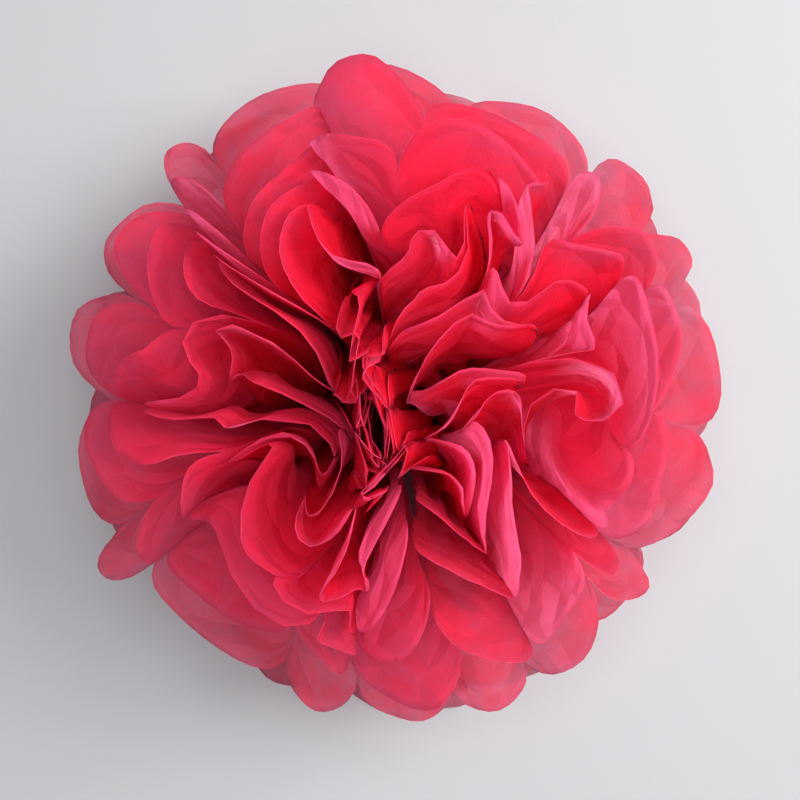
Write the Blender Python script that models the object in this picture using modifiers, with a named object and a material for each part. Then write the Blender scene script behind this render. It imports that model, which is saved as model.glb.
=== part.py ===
"""Tissue paper flower: pleated sheets with scalloped ends, tied round the waist with a wire.

Every sheet is one piece. It is pleated like a fan, passes whole through the tie and spreads into a fan
of petals on each side. The lowest sheet lies on the table and the highest stands up in the middle.
Metres, +Z up. The origin is on the table under the middle of the flower.
"""

import math

import bmesh
import bpy
import numpy as np
from mathutils import Vector

# Directions of the folds, in degrees, for the fans on the +X side and on the -X side
RIGHT_FOLDS = [-93, -77, -60, -39, -18, 3, 24, 45, 66, 93]
LEFT_FOLDS = [273, 253, 235, 212, 191, 169, 152, 131, 111, 87]
PANEL_COUNT = len(RIGHT_FOLDS) - 1

# Pose of each sheet, lowest first: angle above the table where it leaves the tie, and at its tip
ROOT_ANGLES = [12, 38, 49.5, 58, 64, 70, 76]
TIP_ANGLES = [-24, 2, 26, 46, 62, 79, 108]
SHEET_COUNT = len(ROOT_ANGLES)

# Paper
SHEET_WIDTH = 0.250
SHEET_LENGTH = 0.175
SCALLOP_DEPTH = 0.012
PAPER_THICKNESS = 0.0003
PAPER_COLOUR = (0.78, 0.03, 0.09)
HALF_LENGTH = SHEET_LENGTH / 2
PANEL_WIDTH = SHEET_WIDTH / PANEL_COUNT

# Waist, where the wire gathers the pleats
WAIST_WIDTH = 0.0150
WAIST_HEIGHT = 0.0070
WAIST_PLEAT = 0.0005
LAYER_GAP = 0.0008
LAYER_STEP = PAPER_THICKNESS + LAYER_GAP

# How the pleats open on their way out from the waist
TURN_LENGTH = 0.012
EDGE_TURN_LENGTH = 0.003
RISE_LENGTH = 0.008
RISE_STEP = 0.0028
BEND_POWER = 1.2
PLEAT_START = 0.004
PLEAT_FULL = 0.040
PLEAT_ROOM = 0.6
PLEAT_GAP = 0.0026
SHEET_CLEARANCE = PAPER_THICKNESS + PLEAT_GAP
SEAM_TURN = math.radians(4.5)

# Leaning, twisting and waving of the whole flower
SWIRL = math.radians(14.0)
LEAN = (-0.008, 0.004)
WAVE_LENGTH = 0.050
WAVE_HEIGHT = 0.0024
WAVE_START = 0.014
WAVE_FULL = 0.060
LOW_WAVE = 0.4
WAVE_SEED = 22
WAVE_ROUNDS = 2
WAVES_PER_ROUND = 3
SIDE_SQUEEZE = 0.93

# Curls of the ruffles: where each upright line stands, how far its curl reaches, and its turn in radians
CURLS = [
    (-0.0211, 0.0063, 0.0111, -1.22), (0.0385, -0.0095, 0.0158, -1.33), (-0.0041, 0.0272, 0.0101, 1.20),
    (0.0350, -0.0081, 0.0112, -1.29), (0.0186, 0.0312, 0.0130, 1.15), (-0.0193, -0.0280, 0.0134, 1.41),
    (0.0117, 0.0370, 0.0179, -1.51), (-0.0324, 0.0122, 0.0117, -0.91), (0.0221, 0.0322, 0.0141, 1.02),
    (-0.0201, -0.0279, 0.0149, -0.93), (0.0103, -0.0051, 0.0150, 0.99),
    (-0.0115, -0.0307, 0.0113, 0.95), (-0.0239, -0.0311, 0.0176, -1.18),
    (-0.0218, -0.0205, 0.0120, -1.22), (-0.0231, -0.0313, 0.0147, -0.94),
    (-0.0380, -0.0036, 0.0124, -1.29), (-0.0176, -0.0171, 0.0140, -0.93),
    (0.0128, 0.0374, 0.0138, 1.21), (0.0000, 0.0313, 0.0108, -1.41), (-0.0353, 0.0075, 0.0122, 1.66),
    (0.0190, 0.0346, 0.0149, -0.93), (0.0160, 0.0245, 0.0122, -1.24), (0.0099, 0.0362, 0.0145, 1.52),
    (0.0393, -0.0019, 0.0103, -1.56),
]
CURL_START = 0.035
CURL_FULL = 0.075

# Unevenness of hand work
SEED = 21
FOLD_JITTER = 9.0
FOLD_JITTER_FADE = 1.5
FOLD_FREEDOM = 0.5
ANGLE_JITTER = 0.6
ROOT_JITTER_SHARE = 0.4
CRUMPLE = 0.10
ARCH_SHARE = 0.035
ARCH_HEIGHT = 0.006
ARCH_RANGE = (-0.5, 1.0)
ARCH_POWER = 3

# Wire: a loop round the waist, its two ends twisted together in the hollow under one pleat
WIRE_RADIUS = 0.0005
WIRE_GAP = 0.0003
WIRE_TAIL = 0.016
WIRE_TAIL_HEIGHT = 0.0022
WIRE_TWISTS = 2
WIRE_TAIL_START = 0.00125
WIRE_DROP_SHARE = 0.67
WIRE_CORNER = 0.0011
WIRE_FOLD = 4

# Mesh detail
COLUMNS_PER_PANEL = 4
TIE_ROW = 0.0012
LOWER_ROWS = [0.09, 0.22, 0.48, 0.66, 0.84, 1.0]
LOWER_SPACING = {0: 4, 1: 4, 2: 4, 3: 2, 4: 2}
UPPER_ROWS = [0.09, 0.22, 0.34, 0.48, 0.66, 0.84, 1.0]
UPPER_SPACING = {0: 4, 1: 4, 2: 4}
UPPER_SHEETS = 3
TWIST_STEPS = 5
CORNER_STEPS = 3
PATH_STEPS = 60
SLOPE_STEP = 0.002


def ease(value):
    """Smooth step from 0 to 1."""
    value = np.clip(value, 0.0, 1.0)
    return value * value * (3.0 - 2.0 * value)


def uneven_poses():
    """Angles of every fold of every sheet, uneven but always rising from one sheet to the next."""
    rng = np.random.default_rng(SEED)
    shape = (SHEET_COUNT, 2, PANEL_COUNT + 1)
    folds = np.empty(shape)
    base = np.array([RIGHT_FOLDS, LEFT_FOLDS], dtype=float)
    drift = np.zeros(shape[1:])
    free = np.sin(np.linspace(0.0, math.pi, PANEL_COUNT + 1)) ** FOLD_FREEDOM
    for level in range(SHEET_COUNT):
        folds[level] = base + drift * free
        drift = drift + rng.uniform(-1, 1, drift.shape) * FOLD_JITTER / (1 + level) ** FOLD_JITTER_FADE
    roots = rising_angles(ROOT_ANGLES, rng, ROOT_JITTER_SHARE)
    tips = rising_angles(TIP_ANGLES, rng, 1.0)
    arches = rng.uniform(*ARCH_RANGE, (2, PANEL_COUNT))
    return np.radians(folds), np.radians(roots), np.radians(tips), arches


def rising_angles(angles, rng, share):
    """Spread the steps between the sheets unevenly from fold to fold, and keep the total."""
    steps = np.diff(np.array(angles, dtype=float))
    size = (len(steps), 2, PANEL_COUNT + 1)
    weight = 1.0 + rng.uniform(-1, 1, size) * ANGLE_JITTER * share
    weight = (weight + np.roll(weight, 1, axis=2)) / 2
    uneven = steps[:, None, None] * weight
    uneven *= steps.sum() / uneven.sum(axis=0)
    first = np.full((1, 2, PANEL_COUNT + 1), float(angles[0]))
    return np.concatenate([first, angles[0] + np.cumsum(uneven, axis=0)])


FOLDS, ROOTS, TIPS, ARCHES = uneven_poses()


def fold_path(level, side, fold):
    """Points along one fold of one sheet, from the waist to the tip."""
    along = np.linspace(0.0, HALF_LENGTH, PATH_STEPS)
    start = 0.0 if side == 0 else math.pi
    outer = abs(2 * fold / PANEL_COUNT - 1)
    turn = TURN_LENGTH + (EDGE_TURN_LENGTH - TURN_LENGTH) * outer
    heading = start + (FOLDS[level, side, fold] - start) * ease(along / turn)
    rise = ease(along / (RISE_LENGTH + RISE_STEP * (SHEET_COUNT - 1 - level)))
    root, tip = ROOTS[level, side, fold], TIPS[level, side, fold]
    climb = rise * root + (tip - root) * (along / HALF_LENGTH) ** BEND_POWER * rise
    forward = np.stack([np.cos(climb) * np.cos(heading), np.cos(climb) * np.sin(heading), np.sin(climb)], 1)
    crumpled = 1 - CRUMPLE * level / (SHEET_COUNT - 1)
    steps = (forward[1:] + forward[:-1]) / 2 * (along[1] - along[0]) * crumpled
    path = np.concatenate([np.zeros((1, 3)), np.cumsum(steps, axis=0)])
    path[:, 1] += (fold / PANEL_COUNT - 0.5) * WAIST_WIDTH
    path[:, 2] += WAIST_HEIGHT + level * LAYER_STEP
    upward = np.stack([-np.sin(climb) * np.cos(heading), -np.sin(climb) * np.sin(heading), np.cos(climb)], 1)
    reach = np.hypot(path[:, 0], path[:, 1])
    spacing = math.pi / PANEL_COUNT * reach
    depth = 0.5 * np.sqrt(np.maximum(PANEL_WIDTH ** 2 * (1 - ARCH_SHARE) ** 2 - spacing ** 2, 0.0))
    open_up = ease((along - PLEAT_START) / (PLEAT_FULL - PLEAT_START))
    depth = np.minimum(depth * open_up, PLEAT_ROOM * reach)
    gap = LAYER_STEP + along * closest_sheet(level, side, fold)
    nested = 0.5 * spacing * np.sqrt(np.maximum((gap / SHEET_CLEARANCE) ** 2 - 1, 0.0))
    depth = WAIST_PLEAT + np.minimum(depth, nested)
    crease = 1.0 if fold % 2 == 0 else -1.0
    return path + upward * (crease * depth)[:, None]


def closest_sheet(level, side, fold):
    """Smallest angle between a fold and the same fold in the sheets below and above."""
    middle = (ROOTS[:, side, fold] + TIPS[:, side, fold]) / 2
    return np.min(np.abs(np.delete(middle, level) - middle[level]))


def sheet_paths(level):
    """All fold paths of one sheet, as an array indexed by side, fold and step."""
    return np.array([[fold_path(level, side, fold) for fold in range(PANEL_COUNT + 1)] for side in (0, 1)])


def read_path(paths, side, fold, distance):
    """Points at the given distances along the given folds."""
    place = np.clip(distance / HALF_LENGTH, 0.0, 1.0) * (PATH_STEPS - 1)
    index = np.minimum(place.astype(int), PATH_STEPS - 2)
    part = (place - index)[:, None]
    return paths[side, fold, index] * (1 - part) + paths[side, fold, index + 1] * part


def sheet_points(level, across, along):
    """Place points of the flat sheet: across counts panels, along runs from -1 to 1 through the waist."""
    paths = sheet_paths(level)
    side = np.where(along >= 0, 0, 1)
    panel = np.clip(np.floor(across), 0, PANEL_COUNT - 1).astype(int)
    local = across - panel
    scallop = np.sqrt(np.maximum(1.0 - (2.0 * local - 1.0) ** 2, 0.0))
    length = HALF_LENGTH - SCALLOP_DEPTH + SCALLOP_DEPTH * scallop
    distance = np.abs(along) * length
    first = read_path(paths, side, panel, distance)
    second = read_path(paths, side, panel + 1, distance)
    outward = read_path(paths, side, panel, distance + SLOPE_STEP)
    outward -= read_path(paths, side, panel, distance - SLOPE_STEP)
    chord = second - first
    width = np.linalg.norm(chord, axis=1)
    out = np.cross(outward, chord) * np.where(side == 0, 1.0, -1.0)[:, None]
    out /= np.linalg.norm(out, axis=1)[:, None] + 1e-12
    reach = np.linalg.norm(first[:, :2] + second[:, :2], axis=1) / 2
    openness = np.clip(math.pi / PANEL_COUNT * reach / (width + 1e-9), 0.0, 1.0)
    arch = ARCH_HEIGHT * openness ** ARCH_POWER * ease(distance / HALF_LENGTH) * ARCHES[side, panel]
    points = first + chord * local[:, None] + out * (arch * 4 * local * (1 - local))[:, None]
    points = wave(curls(swirl(points)))
    points[:, 1] *= SIDE_SQUEEZE
    points[:, 2] = np.maximum(points[:, 2], level * 2 * PAPER_THICKNESS)
    return points


def swirl(points):
    """Turn and lean the flower, more towards its top."""
    height = points[:, 2] / HALF_LENGTH
    angle = SEAM_TURN + SWIRL * height
    turned = points.copy()
    turned[:, 0] = points[:, 0] * np.cos(angle) - points[:, 1] * np.sin(angle) + LEAN[0] * height ** 2
    turned[:, 1] = points[:, 0] * np.sin(angle) + points[:, 1] * np.cos(angle) + LEAN[1] * height ** 2
    return turned


def curls(points):
    """Turn the ruffles round upright lines here and there, so that their edges curl."""
    free = ease((points[:, 2] - CURL_START) / (CURL_FULL - CURL_START))
    moved = points.copy()
    for middle_x, middle_y, radius, turn in CURLS:
        offset = moved[:, :2] - [middle_x, middle_y]
        angle = turn * free * np.exp(-(np.linalg.norm(offset, axis=1) / radius) ** 2)
        cosine, sine = np.cos(angle), np.sin(angle)
        moved[:, 0] = middle_x + offset[:, 0] * cosine - offset[:, 1] * sine
        moved[:, 1] = middle_y + offset[:, 0] * sine + offset[:, 1] * cosine
    return moved


def wave(points):
    """Shift the paper in soft waves, small enough that neighbouring sheets never cross."""
    rng = np.random.default_rng(WAVE_SEED)
    from_waist = np.linalg.norm(points - [0, 0, WAIST_HEIGHT], axis=1)
    calm = ease((from_waist - WAVE_START) / (WAVE_FULL - WAVE_START))
    calm *= LOW_WAVE + (1 - LOW_WAVE) * ease(points[:, 2] / WAVE_FULL)
    moved = points
    for _ in range(WAVE_ROUNDS):
        shift = np.zeros_like(points)
        for _ in range(WAVES_PER_ROUND):
            travel, sway = rng.normal(size=(2, 3))
            travel *= 2 * math.pi / WAVE_LENGTH / np.linalg.norm(travel)
            sway *= WAVE_HEIGHT / np.linalg.norm(sway)
            shift += np.sin(moved @ travel + rng.uniform(0, 2 * math.pi))[:, None] * sway
        moved = moved + shift * calm[:, None]
    return moved


def paper_material(name, colour):
    material = bpy.data.materials.new(name)
    material.use_nodes = True
    shader = material.node_tree.nodes["Principled BSDF"]
    shader.inputs["Base Color"].default_value = (*colour, 1.0)
    shader.inputs["Roughness"].default_value = 0.85
    material.diffuse_color = (*colour, 1.0)
    return material


def wire_material():
    material = bpy.data.materials.new("wire")
    material.use_nodes = True
    shader = material.node_tree.nodes["Principled BSDF"]
    shader.inputs["Base Color"].default_value = (0.55, 0.55, 0.56, 1.0)
    shader.inputs["Metallic"].default_value = 1.0
    shader.inputs["Roughness"].default_value = 0.35
    return material


def make_sheet(level, collection, material):
    """Pleat one flat scalloped sheet into its place in the flower."""
    name = f"sheet_{level + 1}"
    columns = PANEL_COUNT * COLUMNS_PER_PANEL
    upper = level >= SHEET_COUNT - UPPER_SHEETS
    spacing = UPPER_SPACING if upper else LOWER_SPACING
    steps = [0.0, TIE_ROW / HALF_LENGTH] + (UPPER_ROWS if upper else LOWER_ROWS)
    last = len(steps) - 1
    mesh = bpy.data.meshes.new(name)
    bm = bmesh.new()
    bmesh.ops.create_grid(bm, x_segments=last * 2, y_segments=columns, size=0.5)
    for vertex in bm.verts:
        vertex.co = ((vertex.co.x + 0.5) * last * 2 - last, (vertex.co.y + 0.5) * columns, 0)
    spare = []
    for edge in bm.edges:
        first, second = (vertex.co for vertex in edge.verts)
        zone = round(min(abs(first.x), abs(second.x)))
        if round(first.y) == round(second.y) and round(first.y) % spacing.get(zone, 1):
            spare.append(edge)
    bmesh.ops.dissolve_edges(bm, edges=spare, use_verts=True)
    bmesh.ops.triangulate(bm, faces=bm.faces)
    flat = np.array([vertex.co for vertex in bm.verts])
    row = np.rint(flat[:, 0]).astype(int)
    along = np.sign(row) * np.array(steps)[np.abs(row)]
    column = np.rint(flat[:, 1]).astype(int)
    panel = np.minimum(column // COLUMNS_PER_PANEL, PANEL_COUNT - 1)
    turn = (column - panel * COLUMNS_PER_PANEL) / COLUMNS_PER_PANEL
    across = panel + 0.5 - 0.5 * np.cos(math.pi * turn)
    for vertex, point in zip(bm.verts, sheet_points(level, across, along)):
        vertex.co = point
    bm.to_mesh(mesh)
    bm.free()
    mesh.materials.append(material)
    sheet = bpy.data.objects.new(name, mesh)
    collection.objects.link(sheet)
    thicken = sheet.modifiers.new("Paper", "SOLIDIFY")
    thicken.thickness = PAPER_THICKNESS
    thicken.offset = 1.0
    return sheet


def wire_route():
    """Middle line of the wire: in beside itself, round the waist and out again."""
    strand = WIRE_RADIUS + WIRE_GAP / 2
    side = WAIST_WIDTH / 2 + PAPER_THICKNESS + WIRE_GAP + WIRE_RADIUS
    low = WAIST_HEIGHT - WAIST_PLEAT - WIRE_GAP - WIRE_RADIUS
    stack = LAYER_STEP * (SHEET_COUNT - 1) + PAPER_THICKNESS
    high = WAIST_HEIGHT + stack + WAIST_PLEAT + WIRE_GAP + WIRE_RADIUS
    loop = []
    for corner, (across, up) in enumerate([(1, low), (1, high), (-1, high), (-1, low)]):
        middle = Vector((0, across * (side - WIRE_CORNER), up + WIRE_CORNER * (1 if up == low else -1)))
        for step in range(CORNER_STEPS + 1):
            angle = math.pi / 2 * (corner - 1 + step / CORNER_STEPS)
            loop.append(middle + WIRE_CORNER * Vector((0, math.cos(angle), math.sin(angle))))
    heading = FOLDS[0, 0, WIRE_FOLD]
    away = Vector((math.cos(heading), math.sin(heading), 0))
    beside = Vector((-away.y, away.x, 0))
    ends = []
    for phase in (0.0, math.pi):
        strand_points = []
        count = WIRE_TWISTS * TWIST_STEPS
        for step in range(count + 1):
            share = step / count
            turn = phase + 2 * math.pi * WIRE_TWISTS * share
            drop = (low - strand - WIRE_TAIL_HEIGHT) * float(ease(share / WIRE_DROP_SHARE))
            middle = away * (WIRE_TAIL_START + WIRE_TAIL * share) + Vector((0, 0, low - strand - drop))
            swing = beside * math.cos(turn) + Vector((0, 0, math.sin(turn)))
            strand_points.append(middle + strand * swing)
        ends.append(strand_points)
    return ends[0][::-1] + loop + ends[1]


def make_wire(collection):
    """Bend the tie wire and sweep its round section along it."""
    curve = bpy.data.curves.new("tie_wire", "CURVE")
    curve.dimensions = "3D"
    curve.bevel_depth = WIRE_RADIUS
    curve.bevel_resolution = 1
    curve.use_fill_caps = True
    route = swirl(np.array([list(point) for point in wire_route()]))
    spline = curve.splines.new("POLY")
    spline.points.add(len(route) - 1)
    for point, place in zip(spline.points, route):
        point.co = (*place, 1.0)
    curve.materials.append(wire_material())
    wire = bpy.data.objects.new("tie_wire", curve)
    collection.objects.link(wire)
    return wire


def centre(collection):
    """Move the flower so that the middle of its outline stands over the origin."""
    graph = bpy.context.evaluated_depsgraph_get()
    places = []
    for item in collection.objects:
        places += [vertex.co[:] for vertex in item.evaluated_get(graph).to_mesh().vertices]
    middle = (np.min(places, axis=0) + np.max(places, axis=0)) / 2
    for item in collection.objects:
        item.location = (-middle[0], -middle[1], 0.0)


def main():
    for item in list(bpy.data.objects):
        bpy.data.objects.remove(item)
    collection = bpy.data.collections.new("tissue_paper_flower")
    bpy.context.scene.collection.children.link(collection)
    for level in range(SHEET_COUNT):
        make_sheet(level, collection, paper_material(f"paper_{level + 1}", PAPER_COLOUR))
    make_wire(collection)
    centre(collection)


main()
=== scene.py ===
"""Tissue paper flower: seven pleated sheets of tissue paper held by a tie wire, seen from straight above.

Every sheet is folded from its flat cut. The folds run from the waist to the scalloped edge, and each fold
follows its own path up and outwards. All lengths are in metres.
"""

import math

import bmesh
import bpy
import numpy as np
from bpy.props import FloatProperty, FloatVectorProperty, IntProperty, PointerProperty
from bpy.types import Operator, Panel, PropertyGroup
from bpy.utils import register_class, unregister_class
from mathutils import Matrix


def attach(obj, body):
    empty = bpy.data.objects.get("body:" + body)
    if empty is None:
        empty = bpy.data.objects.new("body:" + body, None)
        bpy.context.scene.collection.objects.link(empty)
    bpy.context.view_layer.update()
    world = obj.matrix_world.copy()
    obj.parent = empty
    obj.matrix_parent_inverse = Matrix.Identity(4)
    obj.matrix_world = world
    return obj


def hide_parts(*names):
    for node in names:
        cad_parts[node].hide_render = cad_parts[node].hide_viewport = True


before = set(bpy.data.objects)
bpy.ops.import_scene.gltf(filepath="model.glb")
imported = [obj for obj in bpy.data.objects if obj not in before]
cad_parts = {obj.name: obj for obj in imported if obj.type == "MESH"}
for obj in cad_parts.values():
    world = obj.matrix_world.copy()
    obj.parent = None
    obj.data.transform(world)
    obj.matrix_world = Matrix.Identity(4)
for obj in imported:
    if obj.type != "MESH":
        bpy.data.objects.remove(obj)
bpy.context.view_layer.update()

bl_info = {
    "name": "Tissue Paper Flower",
    "version": (1, 0, 0),
    "blender": (4, 5, 0),
    "location": "View3D > Sidebar > Paper Flower",
    "description": "Folds a tissue paper flower from flat scalloped sheets",
    "category": "Add Mesh",
}

# Directions of the folds, in degrees, for the fans on the +X side and on the -X side
RIGHT_FOLDS = [-93, -77, -60, -39, -18, 3, 24, 45, 66, 93]
LEFT_FOLDS = [273, 253, 235, 212, 191, 169, 152, 131, 111, 87]
PANEL_COUNT = len(RIGHT_FOLDS) - 1

# Pose of each sheet, lowest first: angle above the table where it leaves the tie, and at its tip
ROOT_ANGLES = [12, 38, 49.5, 58, 64, 70, 76]
TIP_ANGLES = [-24, 2, 26, 46, 62, 79, 108]
SHEET_COUNT = len(ROOT_ANGLES)

# Paper: flat cut, depth of the round scallops, and the thickness that the solids have
SHEET_WIDTH = 0.250
SHEET_LENGTH = 0.175
SCALLOP_DEPTH = 0.012
PAPER_THICKNESS = 0.0003
HALF_LENGTH = SHEET_LENGTH / 2
PANEL_WIDTH = SHEET_WIDTH / PANEL_COUNT

# Waist, where the wire gathers the pleats
WAIST_WIDTH = 0.0150
WAIST_HEIGHT = 0.0070
WAIST_PLEAT = 0.0005
LAYER_GAP = 0.0008
LAYER_STEP = PAPER_THICKNESS + LAYER_GAP

# How the pleats open on their way out from the waist
TURN_LENGTH = 0.012
EDGE_TURN_LENGTH = 0.003
RISE_LENGTH = 0.008
RISE_STEP = 0.0028
BEND_POWER = 1.2
PLEAT_START = 0.004
PLEAT_FULL = 0.040
PLEAT_ROOM = 0.6
PLEAT_GAP = 0.0026
SHEET_CLEARANCE = PAPER_THICKNESS + PLEAT_GAP
SEAM_TURN = math.radians(4.5)

# Leaning, twisting and waving of the whole flower
SWIRL = math.radians(14.0)
LEAN = (-0.008, 0.004)
WAVE_LENGTH = 0.050
WAVE_HEIGHT = 0.0024
WAVE_START = 0.014
WAVE_FULL = 0.060
LOW_WAVE = 0.4
WAVE_SEED = 22
WAVE_ROUNDS = 2
WAVES_PER_ROUND = 3
SIDE_SQUEEZE = 0.93

# Curls of the ruffles: where each upright line stands, how far its curl reaches, and its turn in radians
CURLS = [
    (-0.0211, 0.0063, 0.0111, -1.22), (0.0385, -0.0095, 0.0158, -1.33), (-0.0041, 0.0272, 0.0101, 1.20),
    (0.0350, -0.0081, 0.0112, -1.29), (0.0186, 0.0312, 0.0130, 1.15), (-0.0193, -0.0280, 0.0134, 1.41),
    (0.0117, 0.0370, 0.0179, -1.51), (-0.0324, 0.0122, 0.0117, -0.91), (0.0221, 0.0322, 0.0141, 1.02),
    (-0.0201, -0.0279, 0.0149, -0.93), (0.0103, -0.0051, 0.0150, 0.99),
    (-0.0115, -0.0307, 0.0113, 0.95), (-0.0239, -0.0311, 0.0176, -1.18),
    (-0.0218, -0.0205, 0.0120, -1.22), (-0.0231, -0.0313, 0.0147, -0.94),
    (-0.0380, -0.0036, 0.0124, -1.29), (-0.0176, -0.0171, 0.0140, -0.93),
    (0.0128, 0.0374, 0.0138, 1.21), (0.0000, 0.0313, 0.0108, -1.41), (-0.0353, 0.0075, 0.0122, 1.66),
    (0.0190, 0.0346, 0.0149, -0.93), (0.0160, 0.0245, 0.0122, -1.24), (0.0099, 0.0362, 0.0145, 1.52),
    (0.0393, -0.0019, 0.0103, -1.56),
]
CURL_START = 0.035
CURL_FULL = 0.075

# Unevenness of hand work
SEED = 21
FOLD_JITTER = 9.0
FOLD_JITTER_FADE = 1.5
FOLD_FREEDOM = 0.5
ANGLE_JITTER = 0.6
ROOT_JITTER_SHARE = 0.4
CRUMPLE = 0.10
ARCH_SHARE = 0.035
ARCH_HEIGHT = 0.006
ARCH_RANGE = (-0.5, 1.0)
ARCH_POWER = 3

PATH_STEPS = 60
SLOPE_STEP = 0.002

# Where the solids stand, measured from the waist
SHIFT = np.array([-0.0002808, 0.0009504, 0.0])

# Small gathers that take up the paper's width where the pleats have no room to open: how many to a panel,
# their greatest height, the share of the free room they take, and where along the sheet they fade out
GATHERS = 3
TOP_GATHERS = 2
GATHER_REACH = 0.0018
TOP_REACH = 0.0034
GATHER_ROOM = 0.28
GATHER_FADE = (0.50, 0.85)
GATHER_START = 0.5
GATHER_SEED = 300
WOBBLE_PACES = (120, 260)
WOBBLE_STARTS = (0, 6)
HEIGHT_WOBBLE = 0.15
GATHER_WOBBLE = 0.10

# Crinkles: longest and shortest spacing, how many sets, where they begin, and how they turn, bend and fade
CRINKLE_LENGTHS = (0.032, 0.0045)
CRINKLE_SETS = 11
CRINKLE_START = 0.012
CRINKLE_FULL = 0.042
CRINKLE_SEED = 100
CRINKLE_SPREAD = 0.8
CRINKLE_BEND = 0.004
BEND_PACES = (60, 130)
BEND_STARTS = (0, 6)
CRINKLE_POWER = 0.7
CRINKLE_TOTAL = 3.0

# Unevenness of the scissors' cut: paces along the edge, in radians a panel, and greatest depth
CUT_PACES = (2.3, 5.9, 11.7)
CUT_DEPTH = 0.0016
CUT_SEED = 500

# Look of the paper: cloud and fibre sizes, per metre, and how far each changes the light let through
FLAT_MAP = "flat_sheet"
CLOUD_SCALE = 210.0
FIBRE_SCALE = 2100.0
CLOUD_SHARE = 0.34
FIBRE_SHARE = 0.16
EDGE_SHARE = 0.10
EDGE_WIDTH = 0.0008
PALE_SHARE = 1.12
DEEP_SHARE = 0.86
PAPER_ROUGHNESS = 0.78
PAPER_SHINE = 0.12
GRAIN_STRENGTH = 0.5
GRAIN_DEPTH = 0.0005

# Creases too fine for the mesh: cells per metre and depth
CREASE_SCALE = 85.0
CREASE_DEPTH = 0.0018

# How much of each sheet lies alone over the pale floor, lowest first, used as the share of painted light: these
# sheets get a paler through-colour and let more through, standing in for the floor light seen through one
# layer, while the upper sheets keep the deeper painted shade of the crowded middle
PAINTED_LIGHT_ALONE = [1.0, 0.6, 0.25, 0.1, 0.0, 0.0, 0.0]

# Tie wire: how finely its wear varies, per metre, and its darkest and palest metal
WEAR_SCALE = 900.0
DULL_METAL = (0.42, 0.42, 0.43, 1.0)
BRIGHT_METAL = (0.62, 0.62, 0.63, 1.0)

# Floor, room light and lens
FLOOR_SIZE = 2.0
FLOOR_ROUGHNESS = 0.9
ROOM_COLOUR = (0.96, 0.98, 1.0, 1.0)
LENS_LENGTH = 50.0
SENSOR_WIDTH = 36.0

# Lamps: size of each, where it stands and its colour
WINDOW_SIZE = 0.50
WINDOW_PLACE = (0.62, 0.22, 0.56)
WINDOW_COLOUR = (1.0, 0.985, 0.96)
CEILING_SIZE = 0.90
CEILING_PLACE = (0.05, 0.05, 0.95)
CEILING_COLOUR = (0.97, 0.985, 1.0)


class FlowerPaper(PropertyGroup):
    """Sizes and colours of the tissue paper."""

    thickness: FloatProperty(
        name="Paper thickness", description="Thickness of one sheet", default=0.0001, min=0.00002, unit="LENGTH"
    )
    columns: IntProperty(
        name="Columns per pleat", description="Mesh columns between two folds", default=14, min=6
    )
    rows: IntProperty(name="Rows", description="Mesh rows from the waist to the edge", default=40, min=8)
    crease_height: FloatProperty(
        name="Crinkle height", description="Height of the small crinkles", default=0.00045, unit="LENGTH"
    )
    # Painted light and shade: one paper gets two sets of share and through-colour, the deeper pair for the
    # upper sheets and the paler rim pair for the sheets that lie alone, standing in for floor light seen
    # through one layer
    shine_share: FloatProperty(
        name="Share of light let through", description="Share of the light that passes one skin", default=0.76,
        min=0.0, max=1.0, subtype="FACTOR"
    )
    # Painted light: larger share let through by the sheets that lie alone
    rim_painted_light_share: FloatProperty(
        name="Share let through by the lowest sheet", description="The same share where one sheet lies alone",
        default=0.86, min=0.0, max=1.0, subtype="FACTOR"
    )
    colour: FloatVectorProperty(
        name="Paper colour", description="Colour that the paper reflects", default=(0.97, 0.018, 0.06),
        size=3, subtype="COLOR", min=0.0, max=1.0
    )
    shine_through: FloatVectorProperty(
        name="Colour of light through the paper", description="Colour that passes through one skin",
        default=(0.97, 0.355, 0.57), size=3, subtype="COLOR", min=0.0, max=1.0
    )
    # Painted light: paler through-colour of the sheets that lie alone
    rim_painted_light_colour: FloatVectorProperty(
        name="Colour through the lowest sheet", description="The same colour where one sheet lies alone",
        default=(0.94, 0.75, 0.82), size=3, subtype="COLOR", min=0.0, max=1.0
    )


class FlowerStudio(PropertyGroup):
    """Floor, light and camera."""

    floor_colour: FloatVectorProperty(
        name="Floor colour", description="Colour of the pale floor", default=(0.42, 0.425, 0.44),
        size=3, subtype="COLOR", min=0.0, max=1.0
    )
    lamp_power: FloatProperty(
        name="Window power", description="Power of the soft light from the right", default=8.8, unit="POWER"
    )
    ceiling_power: FloatProperty(
        name="Ceiling power", description="Power of the wide light from above", default=7.6, unit="POWER"
    )
    world_strength: FloatProperty(
        name="Room light", description="Strength of the even light all round", default=0.30
    )
    camera_height: FloatProperty(
        name="Camera height", description="Height of the camera above the floor", default=0.300, unit="LENGTH"
    )


def ease(value):
    """Smooth step from 0 to 1."""
    value = np.clip(value, 0.0, 1.0)
    return value * value * (3.0 - 2.0 * value)


def rising_angles(angles, rng, share):
    """Spread the steps between the sheets unevenly from fold to fold, and keep the total."""
    steps = np.diff(np.array(angles, dtype=float))
    size = (len(steps), 2, PANEL_COUNT + 1)
    weight = 1.0 + rng.uniform(-1, 1, size) * ANGLE_JITTER * share
    weight = (weight + np.roll(weight, 1, axis=2)) / 2
    uneven = steps[:, None, None] * weight
    uneven *= steps.sum() / uneven.sum(axis=0)
    first = np.full((1, 2, PANEL_COUNT + 1), float(angles[0]))
    return np.concatenate([first, angles[0] + np.cumsum(uneven, axis=0)])


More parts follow.
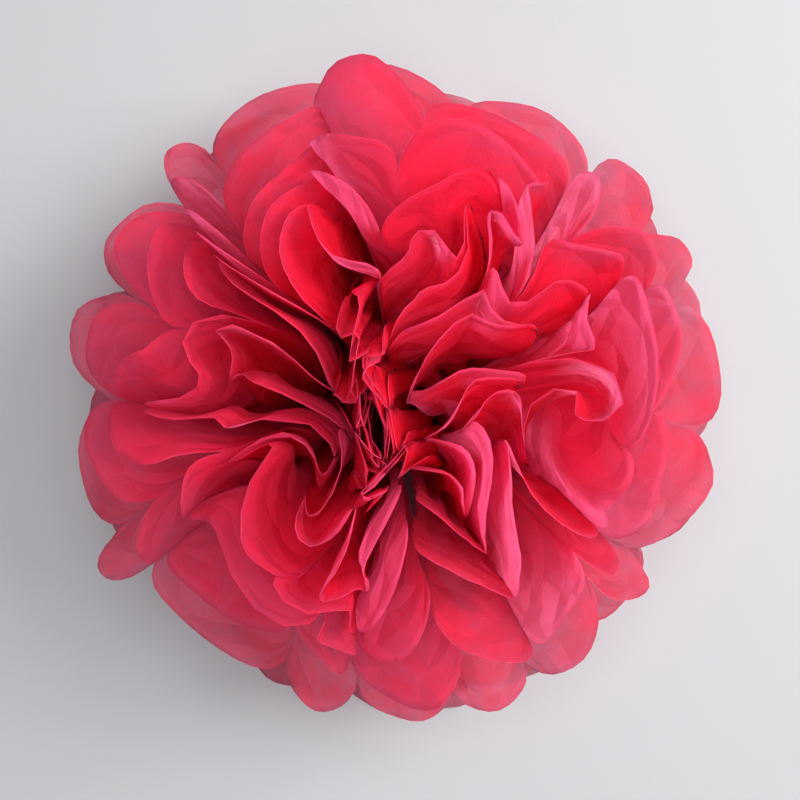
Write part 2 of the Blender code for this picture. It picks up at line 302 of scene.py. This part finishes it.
def uneven_poses():
    """Angles of every fold of every sheet, uneven but always rising from one sheet to the next."""
    rng = np.random.default_rng(SEED)
    shape = (SHEET_COUNT, 2, PANEL_COUNT + 1)
    folds = np.empty(shape)
    base = np.array([RIGHT_FOLDS, LEFT_FOLDS], dtype=float)
    drift = np.zeros(shape[1:])
    free = np.sin(np.linspace(0.0, math.pi, PANEL_COUNT + 1)) ** FOLD_FREEDOM
    for level in range(SHEET_COUNT):
        folds[level] = base + drift * free
        drift = drift + rng.uniform(-1, 1, drift.shape) * FOLD_JITTER / (1 + level) ** FOLD_JITTER_FADE
    roots = rising_angles(ROOT_ANGLES, rng, ROOT_JITTER_SHARE)
    tips = rising_angles(TIP_ANGLES, rng, 1.0)
    arches = rng.uniform(*ARCH_RANGE, (2, PANEL_COUNT))
    return np.radians(folds), np.radians(roots), np.radians(tips), arches


FOLDS, ROOTS, TIPS, ARCHES = uneven_poses()


def closest_sheet(level, side, fold):
    """Smallest angle between a fold and the same fold in the sheets below and above."""
    middle = (ROOTS[:, side, fold] + TIPS[:, side, fold]) / 2
    return np.min(np.abs(np.delete(middle, level) - middle[level]))


def fold_path(level, side, fold):
    """Points along one fold of one sheet, from the waist to the tip."""
    along = np.linspace(0.0, HALF_LENGTH, PATH_STEPS)
    start = 0.0 if side == 0 else math.pi
    outer = abs(2 * fold / PANEL_COUNT - 1)
    turn = TURN_LENGTH + (EDGE_TURN_LENGTH - TURN_LENGTH) * outer
    heading = start + (FOLDS[level, side, fold] - start) * ease(along / turn)
    rise = ease(along / (RISE_LENGTH + RISE_STEP * (SHEET_COUNT - 1 - level)))
    root, tip = ROOTS[level, side, fold], TIPS[level, side, fold]
    climb = rise * root + (tip - root) * (along / HALF_LENGTH) ** BEND_POWER * rise
    forward = np.stack([np.cos(climb) * np.cos(heading), np.cos(climb) * np.sin(heading), np.sin(climb)], 1)
    crumpled = 1 - CRUMPLE * level / (SHEET_COUNT - 1)
    steps = (forward[1:] + forward[:-1]) / 2 * (along[1] - along[0]) * crumpled
    path = np.concatenate([np.zeros((1, 3)), np.cumsum(steps, axis=0)])
    path[:, 1] += (fold / PANEL_COUNT - 0.5) * WAIST_WIDTH
    path[:, 2] += WAIST_HEIGHT + level * LAYER_STEP
    upward = np.stack([-np.sin(climb) * np.cos(heading), -np.sin(climb) * np.sin(heading), np.cos(climb)], 1)
    reach = np.hypot(path[:, 0], path[:, 1])
    spacing = math.pi / PANEL_COUNT * reach
    depth = 0.5 * np.sqrt(np.maximum(PANEL_WIDTH ** 2 * (1 - ARCH_SHARE) ** 2 - spacing ** 2, 0.0))
    open_up = ease((along - PLEAT_START) / (PLEAT_FULL - PLEAT_START))
    depth = np.minimum(depth * open_up, PLEAT_ROOM * reach)
    gap = LAYER_STEP + along * closest_sheet(level, side, fold)
    nested = 0.5 * spacing * np.sqrt(np.maximum((gap / SHEET_CLEARANCE) ** 2 - 1, 0.0))
    depth = WAIST_PLEAT + np.minimum(depth, nested)
    crease = 1.0 if fold % 2 == 0 else -1.0
    return path + upward * (crease * depth)[:, None]


def read_path(paths, side, fold, distance):
    """Points at the given distances along the given folds."""
    place = np.clip(distance / HALF_LENGTH, 0.0, 1.0) * (PATH_STEPS - 1)
    index = np.minimum(place.astype(int), PATH_STEPS - 2)
    part = (place - index)[:, None]
    return paths[side, fold, index] * (1 - part) + paths[side, fold, index + 1] * part


def swirl(points):
    """Turn and lean the flower, more towards its top."""
    height = points[:, 2] / HALF_LENGTH
    angle = SEAM_TURN + SWIRL * height
    turned = points.copy()
    turned[:, 0] = points[:, 0] * np.cos(angle) - points[:, 1] * np.sin(angle) + LEAN[0] * height ** 2
    turned[:, 1] = points[:, 0] * np.sin(angle) + points[:, 1] * np.cos(angle) + LEAN[1] * height ** 2
    return turned


def curls(points):
    """Turn the ruffles round upright lines here and there, so that their edges curl."""
    free = ease((points[:, 2] - CURL_START) / (CURL_FULL - CURL_START))
    moved = points.copy()
    for middle_x, middle_y, radius, turn in CURLS:
        offset = moved[:, :2] - [middle_x, middle_y]
        angle = turn * free * np.exp(-(np.linalg.norm(offset, axis=1) / radius) ** 2)
        cosine, sine = np.cos(angle), np.sin(angle)
        moved[:, 0] = middle_x + offset[:, 0] * cosine - offset[:, 1] * sine
        moved[:, 1] = middle_y + offset[:, 0] * sine + offset[:, 1] * cosine
    return moved


def wave(points):
    """Shift the paper in soft waves, small enough that neighbouring sheets never cross."""
    rng = np.random.default_rng(WAVE_SEED)
    from_waist = np.linalg.norm(points - [0, 0, WAIST_HEIGHT], axis=1)
    calm = ease((from_waist - WAVE_START) / (WAVE_FULL - WAVE_START))
    calm *= LOW_WAVE + (1 - LOW_WAVE) * ease(points[:, 2] / WAVE_FULL)
    moved = points
    for _ in range(WAVE_ROUNDS):
        shift = np.zeros_like(points)
        for _ in range(WAVES_PER_ROUND):
            travel, sway = rng.normal(size=(2, 3))
            travel *= 2 * math.pi / WAVE_LENGTH / np.linalg.norm(travel)
            sway *= WAVE_HEIGHT / np.linalg.norm(sway)
            shift += np.sin(moved @ travel + rng.uniform(0, 2 * math.pi))[:, None] * sway
        moved = moved + shift * calm[:, None]
    return moved


def crinkles(across, along, level):
    """Height of the small creases of one sheet, about -1 to 1, sharp along their ridges."""
    rng = np.random.default_rng(CRINKLE_SEED + level)
    flat = np.stack([across * PANEL_WIDTH, along * HALF_LENGTH], 1)
    total = np.zeros(len(flat))
    for length in np.geomspace(*CRINKLE_LENGTHS, CRINKLE_SETS):
        angle = rng.normal(0.0, CRINKLE_SPREAD)
        travel = np.array([math.cos(angle), math.sin(angle)]) / length
        bend = np.sin(flat[:, ::-1] * rng.uniform(*BEND_PACES) + rng.uniform(*BEND_STARTS))
        phase = (flat + CRINKLE_BEND * bend) @ travel + rng.uniform(0, 1)
        ridge = 2 * np.abs(2 * (phase - np.floor(phase + 0.5))) - 1
        total += ridge * (length / CRINKLE_LENGTHS[0]) ** CRINKLE_POWER
    return total / CRINKLE_TOTAL


def hand_cut(level, side, across):
    """How much more the scissors took off at each place along a scalloped edge."""
    rng = np.random.default_rng(CUT_SEED + level)
    taken = np.zeros(len(across))
    for pace in CUT_PACES:
        start = rng.uniform(0, 2 * math.pi, 2)
        taken += CUT_DEPTH / len(CUT_PACES) * (0.5 + 0.5 * np.sin(across * pace + start[side]))
    return taken


def gathers(level, side, panel, local, distance, width):
    """Height of the small gathers, as much as the missing width needs and the room between sheets allows."""
    rng = np.random.default_rng(GATHER_SEED)
    pace = rng.uniform(*WOBBLE_PACES, (2, PANEL_COUNT))
    start = rng.uniform(*WOBBLE_STARTS, (2, PANEL_COUNT))
    wobble = np.sin(distance * pace[side, panel] + start[side, panel])
    missing = np.sqrt(np.maximum((PANEL_WIDTH / (width + 1e-6)) ** 2 - 1, 0.0))
    top = level == SHEET_COUNT - 1
    count = TOP_GATHERS if top else GATHERS
    needed = width / (4 * count) * missing
    angle = np.array([[closest_sheet(level, s, fold) for fold in range(PANEL_COUNT + 1)] for s in (0, 1)])
    angle = np.minimum(angle[side, panel], angle[side, panel + 1])
    room = GATHER_ROOM * (LAYER_STEP + distance * angle - PAPER_THICKNESS)
    height = np.minimum(np.minimum(needed, room), TOP_REACH if top else GATHER_REACH)
    height *= 1 + HEIGHT_WOBBLE * wobble
    if not top:
        fade, gone = GATHER_FADE
        height *= 1 - ease((distance / HALF_LENGTH - fade) / (gone - fade))
    turn = local + GATHER_WOBBLE / count * wobble * np.sin(2 * math.pi * local)
    return height * np.sin(2 * math.pi * count * turn)


def sheet_points(level, across, along, paper):
    """Place points of the flat sheet: across counts panels, along runs from -1 to 1 through the waist."""
    paths = np.array([[fold_path(level, side, fold) for fold in range(PANEL_COUNT + 1)] for side in (0, 1)])
    side = np.where(along >= 0, 0, 1)
    panel = np.clip(np.floor(across), 0, PANEL_COUNT - 1).astype(int)
    local = across - panel
    scallop = np.sqrt(np.maximum(1.0 - (2.0 * local - 1.0) ** 2, 0.0))
    length = HALF_LENGTH - SCALLOP_DEPTH + SCALLOP_DEPTH * scallop - hand_cut(level, side, across)
    distance = np.abs(along) * length
    first = read_path(paths, side, panel, distance)
    second = read_path(paths, side, panel + 1, distance)
    outward = read_path(paths, side, panel, distance + SLOPE_STEP)
    outward -= read_path(paths, side, panel, distance - SLOPE_STEP)
    chord = second - first
    width = np.linalg.norm(chord, axis=1)
    out = np.cross(outward, chord) * np.where(side == 0, 1.0, -1.0)[:, None]
    out /= np.linalg.norm(out, axis=1)[:, None] + 1e-12
    reach = np.linalg.norm(first[:, :2] + second[:, :2], axis=1) / 2
    openness = np.clip(math.pi / PANEL_COUNT * reach / (width + 1e-9), 0.0, 1.0)
    arch = ARCH_HEIGHT * openness ** ARCH_POWER * ease(distance / HALF_LENGTH) * ARCHES[side, panel]
    lift = arch * 4 * local * (1 - local)
    free = ease((distance - CRINKLE_START) / (CRINKLE_FULL - CRINKLE_START))
    lift += paper.crease_height * crinkles(across, along, level) * free
    lift += gathers(level, side, panel, local, distance, width) * ease(distance / PLEAT_START - GATHER_START)
    points = first + chord * local[:, None] + out * lift[:, None]
    points = wave(curls(swirl(points)))
    points[:, 1] *= SIDE_SQUEEZE
    points[:, 2] = np.maximum(points[:, 2], level * 2 * PAPER_THICKNESS + PAPER_THICKNESS / 2)
    return points + SHIFT


class Value:
    """One output of a node. Python's own operators on it add Math nodes."""

    def __init__(self, nodes, socket):
        self.nodes = nodes
        self.socket = socket

    def maths(self, operation, first, second):
        return self.nodes.add("ShaderNodeMath", {"operation": operation}, {0: first, 1: second})

    def __add__(self, other):
        return self.maths("ADD", self, other)

    def __sub__(self, other):
        return self.maths("SUBTRACT", self, other)

    def __mul__(self, other):
        return self.maths("MULTIPLY", self, other)


class Nodes:
    """The node tree of one material."""

    def __init__(self, name):
        self.material = bpy.data.materials.new(name)
        self.material.use_nodes = True
        self.tree = self.material.node_tree
        self.tree.nodes.clear()

    def add(self, kind, settings=None, inputs=None, output=0):
        """Add a node, set it first, then give its sockets values or links."""
        node = self.tree.nodes.new(kind)
        for name, value in (settings or {}).items():
            setattr(node, name, value)
        for name, value in (inputs or {}).items():
            if isinstance(value, Value):
                self.tree.links.new(value.socket, node.inputs[name])
            else:
                node.inputs[name].default_value = value
        return Value(self, node.outputs[output])

    def finish(self, surface):
        end = self.tree.nodes.new("ShaderNodeOutputMaterial")
        self.tree.links.new(surface.socket, end.inputs["Surface"])
        return self.material

    def blend(self, share, first, second):
        """Mix two colours by a share from 0 to 1."""
        return self.add("ShaderNodeMix", {"data_type": "RGBA"}, {0: share, 6: first, 7: second}, 2)


def tissue_material(paper, level):
    """Thin dyed tissue: cloudy fibres and light through it, with a paler painted through-colour in the sheets
    that lie alone, standing in for the floor light seen through one layer.
    """
    nodes = Nodes(f"tissue_paper_{level + 1}")
    # Painted light: the sheets that lie alone get a paler colour and a larger share let through than the same
    # paper in the upper sheets
    alone = PAINTED_LIGHT_ALONE[level]
    painted_passed_share = paper.shine_share * (1 - alone) + paper.rim_painted_light_share * alone
    painted_through_colour = [a * (1 - alone) + b * alone for a, b in zip(paper.shine_through, paper.rim_painted_light_colour)]
    flat = nodes.add("ShaderNodeUVMap", {"uv_map": FLAT_MAP})
    clouds = nodes.add(
        "ShaderNodeTexNoise",
        {"noise_dimensions": "2D"},
        {"Vector": flat, "Scale": CLOUD_SCALE, "Detail": 3.0, "Roughness": 0.62},
    )
    fibres = nodes.add(
        "ShaderNodeTexNoise",
        {"noise_dimensions": "2D"},
        {"Vector": flat, "Scale": FIBRE_SCALE, "Detail": 1.0, "Roughness": 0.7},
    )
    colour = tuple(paper.colour)
    pale = tuple(min(1.0, part * PALE_SHARE) for part in colour)
    deep = tuple(part * DEEP_SHARE for part in colour)
    tint = nodes.blend(clouds + fibres * 0.8 - 0.4, (*deep, 1.0), (*pale, 1.0))
    creases = nodes.add(
        "ShaderNodeTexVoronoi",
        {"feature": "DISTANCE_TO_EDGE", "voronoi_dimensions": "2D"},
        {"Vector": flat, "Scale": CREASE_SCALE},
        "Distance",
    )
    creased = nodes.add("ShaderNodeBump", None, {"Strength": 1.0, "Distance": CREASE_DEPTH, "Height": creases})
    relief = clouds * 0.6 + fibres * 0.4
    grain = nodes.add(
        "ShaderNodeBump",
        None,
        {"Strength": GRAIN_STRENGTH, "Distance": GRAIN_DEPTH, "Height": relief, "Normal": creased},
    )
    skin = nodes.add(
        "ShaderNodeBsdfPrincipled",
        None,
        {"Base Color": tint, "Roughness": PAPER_ROUGHNESS, "Specular IOR Level": PAPER_SHINE, "Normal": grain},
    )
    # Translucent colour carries the painted light of the sheets that lie alone
    through = nodes.add("ShaderNodeBsdfTranslucent", None, {"Color": (*painted_through_colour, 1.0), "Normal": grain})
    along = nodes.add("ShaderNodeSeparateXYZ", None, {"Vector": flat}, "Y")
    from_waist = nodes.add("ShaderNodeMath", {"operation": "ABSOLUTE"}, {0: along})
    near_edge = nodes.add(
        "ShaderNodeMapRange",
        {"interpolation_type": "SMOOTHSTEP"},
        {"Value": from_waist, "From Min": HALF_LENGTH - EDGE_WIDTH, "From Max": HALF_LENGTH},
    )
    share = clouds * CLOUD_SHARE + fibres * FIBRE_SHARE + (painted_passed_share - (CLOUD_SHARE + FIBRE_SHARE) / 2)
    share = share - near_edge * EDGE_SHARE
    return nodes.finish(nodes.add("ShaderNodeMixShader", None, {0: share, 1: skin, 2: through}))


def floor_material(studio):
    """Plain pale floor."""
    nodes = Nodes("pale_floor")
    skin = nodes.add(
        "ShaderNodeBsdfPrincipled",
        None,
        {"Base Color": (*studio.floor_colour, 1.0), "Roughness": FLOOR_ROUGHNESS},
    )
    return nodes.finish(skin)


def wire_material():
    """Thin drawn florist's wire."""
    nodes = Nodes("florist_wire")
    place = nodes.add("ShaderNodeTexCoord", None, None, "Object")
    wear = nodes.add("ShaderNodeTexNoise", None, {"Vector": place, "Scale": WEAR_SCALE, "Detail": 3.0})
    tint = nodes.blend(wear, DULL_METAL, BRIGHT_METAL)
    skin = nodes.add(
        "ShaderNodeBsdfPrincipled", None, {"Base Color": tint, "Metallic": 1.0, "Roughness": wear * 0.2 + 0.25}
    )
    return nodes.finish(skin)


def make_sheet(level, paper, material):
    """Pleat one flat scalloped sheet into its place in the flower."""
    name = f"paper_sheet_{level + 1}"
    columns = PANEL_COUNT * paper.columns
    rows = paper.rows
    mesh = bpy.data.meshes.new(name)
    bm = bmesh.new()
    bmesh.ops.create_grid(bm, x_segments=rows * 2, y_segments=columns, size=0.5)
    flat = np.array([vertex.co for vertex in bm.verts])
    row = np.rint(flat[:, 0] * rows * 2).astype(int)
    column = np.rint((flat[:, 1] + 0.5) * columns).astype(int)
    along = row / rows
    panel = np.minimum(column // paper.columns, PANEL_COUNT - 1)
    turn = (column - panel * paper.columns) / paper.columns
    across = panel + turn + (0.5 - 0.5 * np.cos(math.pi * turn) - turn) * np.abs(along) ** 2
    layer = bm.loops.layers.uv.new(FLAT_MAP)
    places = sheet_points(level, across, along, paper)
    cut = np.stack([across * PANEL_WIDTH + level * SHEET_WIDTH * 2, along * HALF_LENGTH], 1)
    for face in bm.faces:
        face.smooth = True
        for loop in face.loops:
            loop[layer].uv = cut[loop.vert.index]
    for vertex, place in zip(bm.verts, places):
        vertex.co = place
    bm.to_mesh(mesh)
    bm.free()
    mesh.materials.append(material)
    sheet = bpy.data.objects.new(name, mesh)
    bpy.context.scene.collection.objects.link(sheet)
    thicken = sheet.modifiers.new("Paper", "SOLIDIFY")
    thicken.thickness = paper.thickness
    thicken.offset = 0.0
    return sheet


def make_lamp(name, power, size, place, colour):
    """Put a soft square lamp at a place and turn it to the flower."""
    lamp = bpy.data.lights.new(name, "AREA")
    lamp.size = size
    lamp.energy = power
    lamp.color = colour
    holder = bpy.data.objects.new(name, lamp)
    holder.location = place
    holder.rotation_euler = (-holder.location).to_track_quat("-Z", "Y").to_euler()
    bpy.context.scene.collection.objects.link(holder)


class FLOWER_OT_sheets(Operator):
    """Fold the seven sheets of tissue paper and open them into petals"""

    bl_idname = "flower.sheets"
    bl_label = "Fold the sheets"

    def execute(self, context):
        paper = context.scene.flower_paper
        for level in range(SHEET_COUNT):
            sheet = make_sheet(level, paper, tissue_material(paper, level))
            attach(sheet, "root")
            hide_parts(f"sheet_{level + 1}")
        return {"FINISHED"}


class FLOWER_OT_wire(Operator):
    """Finish the tie wire"""

    bl_idname = "flower.wire"
    bl_label = "Finish the tie wire"

    def execute(self, context):
        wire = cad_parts["tie_wire"]
        wire.data.materials.clear()
        wire.data.materials.append(wire_material())
        return {"FINISHED"}


class FLOWER_OT_stage(Operator):
    """Set the floor, the light and the camera"""

    bl_idname = "flower.stage"
    bl_label = "Set the stage"

    def execute(self, context):
        studio = context.scene.flower_studio
        bm = bmesh.new()
        bmesh.ops.create_grid(bm, x_segments=1, y_segments=1, size=FLOOR_SIZE)
        mesh = bpy.data.meshes.new("floor")
        bm.to_mesh(mesh)
        bm.free()
        mesh.materials.append(floor_material(studio))
        floor = bpy.data.objects.new("floor", mesh)
        context.scene.collection.objects.link(floor)
        world = bpy.data.worlds.new("studio")
        world.use_nodes = True
        background = world.node_tree.nodes["Background"]
        background.inputs["Color"].default_value = ROOM_COLOUR
        background.inputs["Strength"].default_value = studio.world_strength
        context.scene.world = world
        make_lamp("window", studio.lamp_power, WINDOW_SIZE, WINDOW_PLACE, WINDOW_COLOUR)
        make_lamp("ceiling", studio.ceiling_power, CEILING_SIZE, CEILING_PLACE, CEILING_COLOUR)
        lens = bpy.data.cameras.new("camera")
        lens.lens = LENS_LENGTH
        lens.sensor_width = SENSOR_WIDTH
        camera = bpy.data.objects.new("camera", lens)
        camera.location = (0.0, 0.0, studio.camera_height)
        context.scene.collection.objects.link(camera)
        context.scene.camera = camera
        context.scene.view_settings.view_transform = "Standard"
        return {"FINISHED"}


class FLOWER_PT_panel(Panel):
    """Buttons and sizes of the paper flower"""

    bl_label = "Paper Flower"
    bl_space_type = "VIEW_3D"
    bl_region_type = "UI"
    bl_category = "Paper Flower"

    def draw(self, context):
        for group in (context.scene.flower_paper, context.scene.flower_studio):
            box = self.layout.box()
            for name in group.__annotations__:
                box.prop(group, name)
        for operator in (FLOWER_OT_sheets, FLOWER_OT_wire, FLOWER_OT_stage):
            self.layout.operator(operator.bl_idname)


CLASSES = (FlowerPaper, FlowerStudio, FLOWER_OT_sheets, FLOWER_OT_wire, FLOWER_OT_stage, FLOWER_PT_panel)


def register():
    for cls in CLASSES:
        register_class(cls)
    bpy.types.Scene.flower_paper = PointerProperty(type=FlowerPaper)
    bpy.types.Scene.flower_studio = PointerProperty(type=FlowerStudio)


def unregister():
    del bpy.types.Scene.flower_studio
    del bpy.types.Scene.flower_paper
    for cls in reversed(CLASSES):
        unregister_class(cls)


def main():
    register()
    bpy.ops.flower.sheets()
    bpy.ops.flower.wire()
    bpy.ops.flower.stage()


if __name__ == "__main__":
    main()
